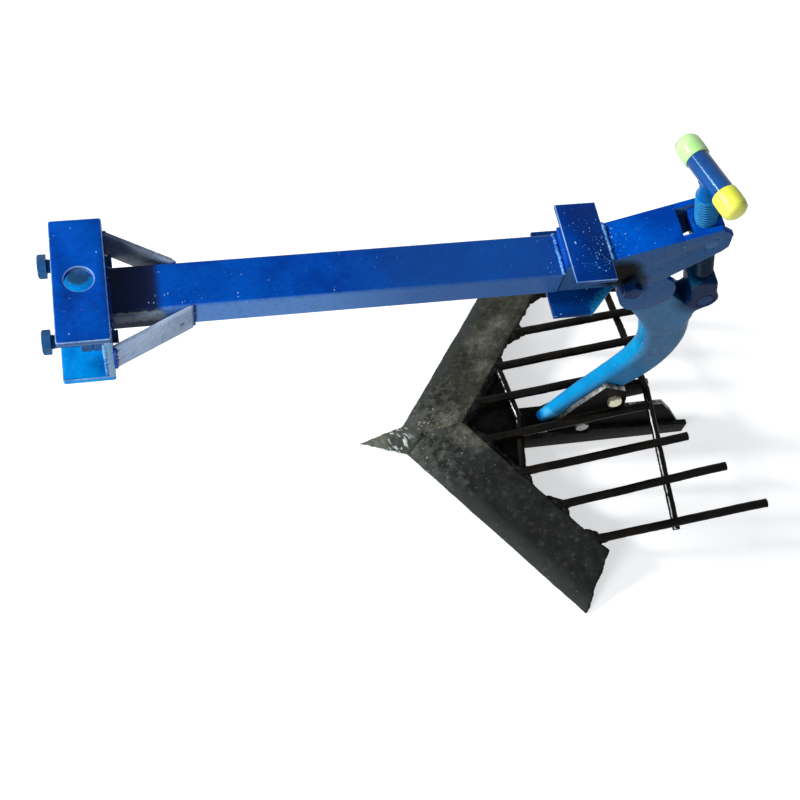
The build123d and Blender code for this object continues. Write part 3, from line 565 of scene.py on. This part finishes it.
def roughened(piece, size, depth, edge_depth):
    """Moves the skin by soft noise with spots of this size, the rear edges by more, all above the floor.
    The size and both depths are in millimetres."""
    floor = cad_box[0].z
    shifts = []
    for vertex in piece.data.vertices:
        here = vertex.co * per_metre(size)
        amount = depth * noise.fractal(here, 1.0, 2.0, 3)
        if abs(vertex.normal.z) < 0.6:
            amount += edge_depth * max(0.1, vertex.normal.x) * noise.fractal(here * 1.7, 0.9, 2.0, 3)
        shifts.append(vertex.normal * amount * MM)
    for vertex, shift in zip(piece.data.vertices, shifts):
        vertex.co += shift
        vertex.co.z = max(vertex.co.z, floor)


def turned(profile, sides):
    """A round piece on the Z axis, spun in so many sides from (radius, height) points in millimetres."""
    bpy.ops.object.select_all(action="DESELECT")
    bpy.ops.mesh.primitive_plane_add(size=1, location=(0, 0, 0))
    piece = bpy.context.object
    bpy.ops.object.mode_set(mode="EDIT")
    bpy.ops.mesh.select_all(action="SELECT")
    bpy.ops.mesh.merge(type="CENTER")
    bpy.ops.transform.translate(value=at(profile[0][0], 0, profile[0][1]))
    for (radius, height), (next_radius, next_height) in zip(profile, profile[1:]):
        step = at(next_radius - radius, 0, next_height - height)
        bpy.ops.mesh.extrude_vertices_move(TRANSFORM_OT_translate={"value": step})
    bpy.ops.mesh.select_all(action="SELECT")
    bpy.ops.mesh.spin(steps=sides, angle=2 * math.pi, center=(0, 0, 0), axis=(0, 0, 1))
    bpy.ops.mesh.select_all(action="SELECT")
    bpy.ops.mesh.remove_doubles(threshold=0.001 * MM)
    bpy.ops.mesh.normals_make_consistent(inside=False)
    bpy.ops.object.mode_set(mode="OBJECT")
    bpy.ops.object.shade_smooth_by_angle(angle=math.radians(40))
    return piece


def stand(piece, foot, way):
    """Turns a piece from the Z axis to another way, and moves its foot to a point."""
    piece.data.transform(Matrix.Translation(foot) @ way.to_track_quat("Z", "Y").to_matrix().to_4x4())
    return piece


def joined(pieces):
    """One object out of several."""
    pick(pieces[0])
    for piece in pieces[1:]:
        piece.select_set(True)
    bpy.ops.object.join()
    return bpy.context.object


def cut_by(piece, cutter, operation):
    """Cuts a piece by another one, which is used up."""
    cut = piece.modifiers.new("cut", "BOOLEAN")
    cut.operation = operation
    cut.object = cutter
    apply_all(piece)
    bpy.data.objects.remove(cutter)


def sections(name, foot, way):
    """The low end, high end and radius in millimetres of each round or hexagonal length of a bolt,
    nut or screw."""
    spans = {}
    for vertex in nodes[name].data.vertices:
        arm = vertex.co - foot
        height = arm.dot(way)
        radius = round((arm - way * height).length / MM, 1)
        low, high = spans.get(radius, (height, height))
        spans[radius] = (min(low, height), max(high, height))
    return sorted((low / MM, high / MM, radius) for radius, (low, high) in spans.items() if radius > 1)


def bar_profile(radius, low, high, step, chamfer):
    """Rings of a plain bar with chamfered ends, about one step apart."""
    rings = max(2, round((high - low) / step))
    middle = [(radius, low + chamfer + (high - low - 2 * chamfer) * i / rings) for i in range(rings + 1)]
    return [(0, low), (radius - chamfer, low), *middle, (radius - chamfer, high), (0, high)]


def cut_thread(piece, radius, low, high, pitch, depth):
    """Sinks a screw thread into the rings of a bar of this radius, between two heights."""
    for vertex in piece.data.vertices:
        x, y, z = vertex.co / MM
        across = math.hypot(x, y)
        if low <= z <= high and across > 0.9 * radius:
            phase = (z / pitch - math.atan2(y, x) / (2 * math.pi)) % 1
            groove = min(1, max(0, 1.6 - 4 * abs(phase - 0.5)))
            fade = min(1, (z - low) / pitch, (high - z) / pitch)
            vertex.co.xy *= 1 - depth * groove * fade / across


def hexagon(corner, low, high, square_foot):
    """A hexagon of this corner radius along Z, its corners turned off at the top, and at its foot too
    unless that is square."""
    bpy.ops.object.select_all(action="DESELECT")
    bpy.ops.mesh.primitive_cylinder_add(
        vertices=6, radius=corner * MM, depth=(high - low) * MM, location=at(0, 0, (low + high) / 2))
    block = bpy.context.object
    bpy.ops.object.transform_apply()
    face = 0.475 * corner * math.sqrt(3)
    clear = 1.02 * corner
    chamfer = (corner - face) * math.tan(math.radians(30))
    profile = [(0, low), (face, low), (clear, low + chamfer)]
    if square_foot:
        profile = [(0, low - 1), (clear, low - 1)]
    profile += [(clear, high - chamfer), (face, high), (0, high)]
    cut_by(block, turned(profile, sides=72), "INTERSECT")
    pick(block)
    bpy.ops.object.shade_smooth_by_angle(angle=math.radians(12))
    return block


def bolt(name, key, foot, way, pitch):
    """A hexagon bolt with a cut thread, its head at the low end of its axis."""
    (low, high, corner), (start, end, radius) = sections(name, foot, way)[:2]
    head = hexagon(corner, -high, -low, square_foot=True)
    head.data.transform(Matrix.Rotation(math.pi, 4, "X"))
    shank = turned(bar_profile(radius, start, end, step=pitch / 6, chamfer=0.8), sides=40)
    cut_thread(shank, radius, start + pitch, end, pitch, depth=0.55 * pitch)
    seat(stand(joined([head, shank]), foot, way), "turned_" + name, key, body_of_node(name), name)


def nut(name, key, foot, way):
    """A hexagon nut, both its faces chamfered, bored as the CAD nut is."""
    lengths = sections(name, foot, way)
    low, high, corner = max(lengths, key=lambda length: length[2])
    bore = min(radius for _, _, radius in lengths)
    block = stand(hexagon(corner, low, high, square_foot=False), foot, way)
    drill = turned([(0, low - 5), (bore, low - 5), (bore, high + 5), (0, high + 5)], sides=40)
    cut_by(block, stand(drill, foot, way), "DIFFERENCE")
    seat(block, "turned_" + name, key, body_of_node(name), name)


def drops_of(drops, subdivisions):
    """Balls of metal in one object, each given by its middle and radius in metres."""
    bpy.ops.object.select_all(action="DESELECT")
    middle, radius = drops[0]
    bpy.ops.mesh.primitive_ico_sphere_add(subdivisions=subdivisions, radius=radius, location=middle)
    piece = bpy.context.object
    bpy.ops.object.transform_apply()
    bpy.ops.object.mode_set(mode="EDIT")
    for middle, radius in drops[1:]:
        bpy.ops.mesh.primitive_ico_sphere_add(subdivisions=subdivisions, radius=radius, location=middle)
    bpy.ops.object.mode_set(mode="OBJECT")
    return piece


def weld(name, key, body, points, radius, seed, taper=0, passes=2):
    """Overlapping drops of weld metal along points given in millimetres, run together as one bead and
    smoothed in so many passes, thinner towards its ends by the taper."""
    rng = random.Random(seed)
    thinnest = radius * (1 - taper)
    middles = []
    for start, end in zip(points, points[1:]):
        start, end = at(*start), at(*end)
        count = max(1, round((end - start).length / (thinnest * 0.75 * MM)))
        middles += [start.lerp(end, i / count) for i in range(count)]
    middles.append(at(*points[-1]))
    drops = [(middles[0], thinnest * MM)]
    for number, middle in enumerate(middles[1:], 1):
        jitter = Vector([rng.uniform(-0.2, 0.2) for _ in range(3)]) * radius * MM
        thin = 1 - taper * abs(2 * number / (len(middles) - 1) - 1)
        drops.append((middle + jitter, radius * thin * rng.uniform(0.8, 1.15) * MM))
    bead = drops_of(drops, subdivisions=2)
    remesh_smooth(bead, max(0.3, 0.2 * radius), passes)
    seat(bead, name, key, body)


def spatter(name, key, body, patches, seed):
    """Drops of weld spatter stuck on faces: each patch has a corner, two sides and a count."""
    rng = random.Random(seed)
    drops = []
    for corner, side, other, count in patches:
        for _ in range(count):
            place = at(*corner) + at(*side) * rng.random() + at(*other) * rng.random()
            drops.append((place, (0.25 + 0.95 * rng.random() ** 3) * MM))
    piece = drops_of(drops, subdivisions=1)
    bpy.ops.object.shade_smooth()
    seat(piece, name, key, body)


def box_mm(name):
    """The low and the high corner of a CAD node's box, in millimetres."""
    return [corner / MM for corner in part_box(name)]


# Hitch head

dress(nodes["beam_tube"], "tube")
# The hitch plates' rounded edges carry a painted highlight
for name, key in (("hitch_top_plate", "beam"), ("hitch_bottom_plate", "azure"), ("hitch_back_plate", "head")):
    softened(name, key, width=1.2, rim="rim")
# The near brace takes the paler painted reflection finish
for name, key in (("brace_left", "painted_sheen_brace"), ("brace_right", "shadow_and_scorch")):
    softened(name, key, width=1.2)

rearward = Vector((1, 0, 0))
bolt_pitch = 2
adjuster_spread = 50
for side, out in (("left", -1), ("right", 1)):
    axis = at(0, out * adjuster_spread, 0)
    bolt("adjusting_bolt_" + side, "bolt", axis, rearward, bolt_pitch)
    nut("lock_nut_" + side, "bolt", axis, rearward)
    nut("weld_nut_" + side, "bolt", axis, rearward)

head_low, head_high = box_mm("hitch_back_plate")
head_back = head_high.x
tube_low, tube_high = box_mm("beam_tube")
near, far, top, bottom = tube_low.y, tube_high.y, tube_high.z, tube_low.z
brace_root = 78
head_seam = head_back + 1
weld("weld_head_top", "weld", "beam", [(head_seam, near + 3, top + 1), (head_seam, far - 3, top + 1)],
     radius=2.4, seed=11)
for side, out, face in (("left", -1, near), ("right", 1, far)):
    brace_end = box_mm("brace_" + side)[1].x
    for seam, x, y, below_top, radius, seed in (
            ("head", head_seam, face + out, 1, 2.4, 12),
            ("brace_head", head_seam + 0.5, out * brace_root, 2, 2.6, 13),
            ("brace_tube", brace_end - 1, face + out, 2, 2.2, 14)):
        weld(f"weld_{seam}_{side}", "weld", "beam",
             [(x, y, bottom + 2), (x, y, top - below_top)], radius, seed)
corner_x, corner_y = head_low.x - 1, head_low.y + 1
weld("weld_back_corner", "spattered", "beam",
     [(corner_x, corner_y, head_high.z - 6), (corner_x, corner_y, head_low.z + 2),
      (corner_x, corner_y + 33, head_low.z + 1)], radius=2.2, seed=16)
weld("weld_tube_seam", "shadow_and_scorch", "beam",
     [(head_back + 3, near + 0.5, 9), (head_back + 50, near + 0.5, 8)], radius=2, seed=15)

# Fork and plates

for name in ("fork_plate_left", "fork_plate_right", "fork_cover", "upper_wedge"):
    softened(name, "fork", width=0.8)
# The upper cross plate's rounded edges carry a painted highlight
softened("upper_cross_plate", "plate", width=1, rim="rim")
softened("lower_cross_plate", "lower_plate", width=0.9)

tube_end = tube_high.x
plate_low, plate_high = box_mm("upper_cross_plate")
weld("weld_tube_end", "spattered", "beam",
     [(tube_end + 1, near + 3, top - 1), (tube_end + 1, far - 3, top - 1)], radius=2.6, seed=21)
weld("weld_plate_front", "weld", "beam",
     [(plate_low.x - 0.5, near + 4, plate_low.z - 3), (plate_low.x - 0.5, far - 4, plate_low.z - 3)],
     radius=2.6, seed=22)
weld("weld_plate_rear", "spattered", "beam",
     [(plate_high.x + 1.5, near + 5, plate_low.z + 2.5), (plate_high.x + 1.5, far - 5, plate_low.z + 2.5)],
     radius=3, seed=23)
spatter("spatter_plates", "spattered", "beam", [
    ((plate_low.x + 8, plate_low.y + 8, plate_high.z), (38, 0, 0), (0, 92, 0), 70),
    ((plate_low.x + 26, plate_low.y + 14, plate_high.z), (22, 0, 0), (0, 50, 0), 60),
    ((tube_end - 24, near + 5, top), (22, 0, 0), (0, 50, 0), 24),
    ((plate_high.x + 3, near + 6, plate_low.z + 1), (22, 0, 8), (0, 48, 0), 40),
    ((plate_high.x + 25, near + 6, plate_low.z + 9), (48, 0, 17.5), (0, 48, 0), 14),
    ((head_back + 42, near + 4, top), (60, 0, 0), (0, 14, 0), 16),
], seed=24)

# Pivot, foot bolts and their nuts

across = Vector((0, 1, 0))
pivot = Vector(joints["share_pitch"]["pos_m"])
bolt("pivot_bolt", "pin", pivot, across, bolt_pitch)
nut("pivot_nut", "pin", pivot, across)
for name, key in (("lower", "steel"), ("upper", "zinc")):
    low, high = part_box("foot_bolt_" + name)
    middle = Vector(((low.x + high.x) / 2, 0, (low.z + high.z) / 2))
    bolt("foot_bolt_" + name, key, middle, across, bolt_pitch)
    nut("foot_nut_" + name, "steel", middle, across)

# Depth screw and handle

screw_pitch = 5
thread_depth = 2.2
plain_step = 20
screw_pieces = []
*plain, (neck_low, neck_high, neck_radius) = sections("screw", screw_foot, screw_up)
thread_radius = max(radius for _, _, radius in plain)
for low, high, radius in plain:
    threaded = radius == thread_radius
    step = screw_pitch / 8 if threaded else plain_step
    length = turned(bar_profile(radius, low, high, step, chamfer=0.6), sides=56)
    if threaded:
        cut_thread(length, radius, low, high, screw_pitch, thread_depth)
    screw_pieces.append(length)
seat(stand(joined(screw_pieces), screw_foot, screw_up), "turned_screw", "screw", "screw", "screw")
flare = [(0, 0), (13.2, 0), (12.6, 2), (11.2, 8), (10.2, 14), (neck_radius + 0.4, 20)]
neck_profile = [(radius, neck_low + rise) for radius, rise in flare]
neck = turned(neck_profile + [(neck_radius, neck_high), (0, neck_high)], sides=56)
seat(stand(neck, screw_foot, screw_up), "flared_neck", "neck", "screw")
softened("screw_nut", "beam", width=0.5)

dress(nodes["handle_bar"], "pipe")
handle_low, handle_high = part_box("handle_bar")
handle_middle = (handle_low + handle_high) / 2
cap_ends = [sum(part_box("handle_cap_" + side), Vector()) / 2 for side in ("left", "right")]
handle_way = (cap_ends[1] - cap_ends[0]).normalized()
for side, sign, key in (("left", -1, "cap"), ("right", 1, "far_cap")):
    name = "handle_cap_" + side
    way = handle_way * sign
    arms = [vertex.co - handle_middle for vertex in nodes[name].data.vertices]
    spans = [(arm.dot(way) / MM, arm.cross(way).length / MM) for arm in arms]
    rim, tip = min(s[0] for s in spans), max(s[0] for s in spans)
    outer = max(s[1] for s in spans)
    inner = min(s[1] for s in spans if s[0] < rim + 0.5)
    bulge = [(outer - 0.5, rim + 0.5), (outer - 0.1, rim + 4), (outer, rim + 12), (outer - 0.4, tip - 8),
             (outer - 1.8, tip - 4.4), (outer - 4.4, tip - 1.6), (outer - 8, tip - 0.3), (0, tip)]
    cap = turned([(inner, tip - 4.2), (inner, rim), (outer - 0.9, rim), *bulge], sides=64)
    seat(stand(cap, handle_middle, way), "moulded_" + name, key, "screw", name)
pipe_underside = 13
neck_top = screw_foot + screw_up * (handle_middle - screw_foot).dot(screw_up)
ring_middle = neck_top / MM - screw_up * pipe_underside
ring_radius = neck_radius + 0.6
ring = [ring_middle + handle_way * ring_radius * math.cos(turn) +
        screw_up.cross(handle_way) * ring_radius * math.sin(turn)
        for turn in [math.radians(30 * i) for i in range(13)]]
weld("weld_handle_neck", "neck", "screw", ring, radius=2.2, seed=31)

# Shank and foot

# Corners under the shank's head, each with the reach of its smoothing in millimetres
shoulders = ((at(707, 0, -130), 60), (at(775, 0, -142), 46))
toe_seam = [(598, -6, -424), (655, -6, -424), (655, 6, -424), (598, 6, -424)]
shank = remeshed("shank", grain=1.7, passes=10)
for shoulder, reach in shoulders:
    eased(shank, shoulder, reach, passes=300)
seat(shank, "forged_shank", "cast", "share", "shank")
# The toe weld and the gusset plate take the near-black painted shade finish, filling the shaded channel under
# the toe
weld("weld_shank_toe", "shadow_black", "share", toe_seam, radius=8, seed=66, passes=6)
for name, key in (("foot_cheek_left", "cheek"), ("foot_cheek_right", "foot"), ("runner_left", "foot"),
                  ("runner_right", "foot"), ("gusset_plate", "shadow_black")):
    softened(name, key, width=0.8)

# Share

for side, key in (("left", "wing"), ("right", "far_wing")):
    wing = remeshed("wing_" + side, grain=1.6, passes=3)
    roughened(wing, size=26, depth=0.6, edge_depth=3.0)
    seat(wing, "rolled_wing_" + side, key, "share", "wing_" + side)
nose = remeshed("nose", grain=1.0, passes=1)
roughened(nose, size=9, depth=0.8, edge_depth=0.3)
seat(nose, "ground_nose", "nose", "share", "nose")
nose_seam = ((452, 2, -428.5), (446, 9, -433.5), (439, 17, -439.5), (432, 24, -445))
for side, out in (("left", -1), ("right", 1)):
    weld("weld_nose_" + side, "nose", "share", [(x, y * out, z) for x, y, z in nose_seam],
         radius=1.8, seed=60)


# Sifting rods

def rod_ends(name):
    """The ends of a rod's axis, the front one first, and its radius in millimetres."""
    points = np.array([vertex.co for vertex in nodes[name].data.vertices])
    along = points[:, 0]
    middle = (along.min() + along.max()) / 2
    ends = [Vector(points[along < middle].mean(0)), Vector(points[along >= middle].mean(0))]
    way = (ends[1] - ends[0]).normalized()
    reach = [(Vector(point) - ends[0]).dot(way) for point in points]
    radius = max((Vector(point) - ends[0]).cross(way).length for point in points)
    return ends[0] + way * min(reach), ends[0] + way * max(reach), radius / MM


def bent_bar(length, radius, seed):
    """A round bar along Z, slightly bowed and dented, its sizes in millimetres."""
    bar = turned(bar_profile(radius, 0, length, step=5, chamfer=0.9), sides=20)
    for vertex in bar.data.vertices:
        height = vertex.co.z * per_metre(60)
        bow = Vector((noise.noise((seed, 3, height)), noise.noise((seed, 8, height)), 0)) * 0.7 * MM
        dent = noise.noise(vertex.co * per_metre(7)) * 0.3 * MM
        vertex.co += bow + Vector((vertex.co.x, vertex.co.y, 0)).normalized() * dent
    return bar


for name, key in (("front_cross_rod", "front_rod"), ("rear_cross_rod", "rear_rod")):
    rod = remeshed(name, grain=1.0, passes=2)
    roughened(rod, size=8, depth=0.35, edge_depth=0.2)
    seat(rod, "bent_" + name, key, "share", name)

# Webs of weld run along the wing on both sides of each rod, a flare runs up the rod from its root, and
# a seam joins the gusset plate to the wing
rod_numbers = (1, 2, 3, 4)
root_depth = 2
web_reach = 20
last_web_reach = 7
web_bulge = Vector((6, 0, 1))
web_drop = 2.5
flare_span = (-2, 22)
flare_drop = Vector((0, 0, 3.5))
gusset_inner_reach = 26
gusset_outer_reach = 8
gusset_back = 5
gusset_drop = 7
for side, first_seed in (("left", 0), ("right", 10)):
    roots = []
    ways = []
    for number in rod_numbers:
        name = f"rod_{side}_{number}"
        front, rear, radius = rod_ends(name)
        rod = bent_bar((rear - front).length / MM, radius, first_seed + number)
        seat(stand(rod, front, rear - front), "bar_" + name, "rod", "share", name)
        ways.append((rear - front).normalized())
        roots.append(front / MM + ways[-1] * root_depth)
    along = (roots[-1] - roots[0]).normalized()
    for number, root, way in zip(rod_numbers, roots, ways):
        outward = last_web_reach if number == rod_numbers[-1] else web_reach
        web = [root - along * web_reach, root + web_bulge, root + along * outward]
        weld(f"weld_rod_{side}_{number}", "foot", "share", [(x, y, z - web_drop) for x, y, z in web],
             radius=7.5, seed=40 + number, taper=0.6, passes=12)
        weld(f"weld_root_{side}_{number}", "foot", "share",
             [root + way * reach - flare_drop for reach in flare_span],
             radius=8.5, seed=70 + number, taper=0.4, passes=12)
    seam = [roots[0] - along * gusset_inner_reach, roots[1] + along * gusset_outer_reach]
    weld(f"weld_gusset_{side}", "foot", "share",
         [(x + gusset_back, y, z - gusset_drop) for x, y, z in seam], radius=5, seed=50)


# Stage

def seen_rays(tree):
    """One for the rays by which the eye, a mirror or glass sees the background, and none for light."""
    rays = add(tree, "LightPath").node.outputs
    seen = rays["Is Camera Ray"]
    for kind in ("Is Glossy Ray", "Is Transmission Ray"):
        seen = add(tree, "Math", None, {0: seen, 1: rays[kind]}, operation="MAXIMUM")
    return seen


def make_floor():
    """A grey floor just under the part, which holds the shadow and is lifted to white where it is seen."""
    middle = Vector((0.45, 0, cad_box[0].z - 0.5 * MM))
    bpy.ops.object.select_all(action="DESELECT")
    bpy.ops.mesh.primitive_plane_add(size=80, location=middle)
    floor = bpy.context.object
    floor.name = "studio_floor"
    material, tree, shader, place = start_material("pale_floor", Roughness=0.9)
    shader.inputs["Emission Color"].default_value = linear("#FFFFFF")
    shade = add(tree, "TexNoise", {"Scale": 0.6, "Detail": 2}, {"Vector": place})
    seen = seen_rays(tree)
    pale = add(tree, "Mix", {6: linear("#E4E4E2"), 7: linear("#EAEAE9")}, {0: shade}, data_type="RGBA")
    colour = add(tree, "Mix", {6: linear("#A4A4A2")}, {0: seen, 7: pale}, data_type="RGBA")
    glow = add(tree, "Math", {1: 0.56}, {0: seen}, operation="MULTIPLY")
    tree.links.new(colour, shader.inputs["Base Color"])
    tree.links.new(glow, shader.inputs["Emission Strength"])
    floor.data.materials.append(material)


def make_dome():
    """A dim cool dome, brighter towards the hitch's end, and white where it is seen."""
    world = bpy.data.worlds.new("studio")
    bpy.context.scene.world = world
    world.use_nodes = True
    tree = world.node_tree
    dome = tree.nodes["Background"]
    way = add(tree, "TexCoord").node.outputs["Generated"]
    height = add(tree, "SeparateXYZ", None, {0: way}).node.outputs["Z"]
    toward = add(tree, "VectorMath", {1: (-0.7, 0, 0.3)}, {0: way}, operation="DOT_PRODUCT")
    level = add(tree, "MapRange", {"From Min": -0.7, "From Max": 0.76, "To Min": 0.08, "To Max": 0.56},
                {"Value": toward})
    tint = add(tree, "MapRange", {"From Max": 0.7}, {"Value": height})
    colour = add(tree, "Mix", {6: linear("#E2F0F6"), 7: linear("#C9D2E0")}, {0: tint}, data_type="RGBA")
    seen = seen_rays(tree)
    colour = add(tree, "Mix", {7: linear("#FFFFFF")}, {0: seen, 6: colour}, data_type="RGBA")
    level = add(tree, "Mix", {3: 1.0}, {0: seen, 2: level})
    tree.links.new(level, dome.inputs["Strength"])
    tree.links.new(colour, dome.inputs["Color"])


def hang_lamp(name, kind, energy, place, aim):
    """The data of a new lamp that hangs at one place and shines on another, both in metres."""
    lamp = bpy.data.objects.new(name, bpy.data.lights.new(name, kind))
    bpy.context.scene.collection.objects.link(lamp)
    lamp.data.energy = energy
    lamp.location = place
    lamp.rotation_euler = (Vector(place) - Vector(aim)).to_track_quat("Z", "Y").to_euler()
    return lamp.data


def make_lamps():
    """A low sun from the hitch's end, and a weak lamp on the near side."""
    key = hang_lamp("key", "SUN", energy=2.9, place=(-0.84, 0.2, 0.42), aim=(0, 0, 0))
    key.angle = math.radians(9)
    fill = hang_lamp("fill", "AREA", energy=20, place=(-0.9, -1.1, 0.55), aim=(0.2, 0, 0))
    fill.size = 0.7


def make_camera():
    """The camera, fitted to the photo's edges."""
    place = at(53.7, -803.8, 1225.5)
    turn_degrees = (28.8305, -7.4183, -10.4009)
    camera = bpy.data.objects.new("camera", bpy.data.cameras.new("camera"))
    bpy.context.scene.collection.objects.link(camera)
    camera.data.lens = 57.24
    camera.data.sensor_width = 36
    camera.location = place
    camera.rotation_euler = [math.radians(turn) for turn in turn_degrees]
    bpy.context.scene.camera = camera


make_floor()
make_dome()
make_lamps()
make_camera()
bpy.context.scene.view_settings.view_transform = "Standard"
